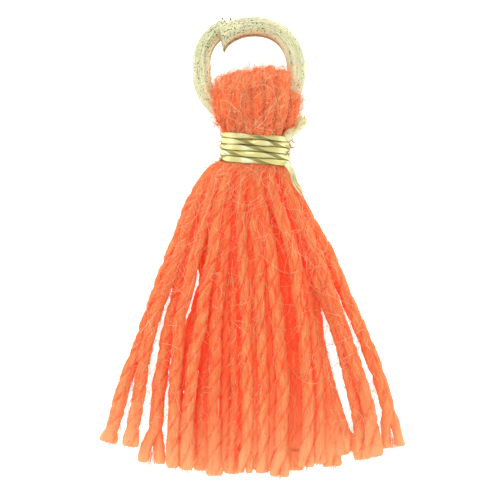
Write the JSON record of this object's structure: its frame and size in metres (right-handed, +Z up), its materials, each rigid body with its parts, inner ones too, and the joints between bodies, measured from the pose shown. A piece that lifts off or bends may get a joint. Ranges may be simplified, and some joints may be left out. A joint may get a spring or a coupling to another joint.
{
  "type": "tassel charm",
  "caption": "Small tassel charm: a hank of coral yarn folded over a split wire ring and bound under it with metallic thread, its cut ends fanned out flat.",
  "frame": {"origin": "middle of the charm's outline seen from above, on the surface that it lies on", "axes": "+Y from the cut ends towards the ring, +Z up off the surface, +X across it to the right"},
  "size_m": [0.0132, 0.0204, 0.0036],
  "materials": {
    "ring_metal": "pale gold plating, lightly pitted",
    "yarn": "soft twisted two-ply yarn",
    "foil_thread": "metallised foil, twisted"
  },
  "bodies": {
    "root": {"jump_ring": "ring_metal", "yarn": "yarn", "binding": "foil_thread"}
  },
  "joints": []
}
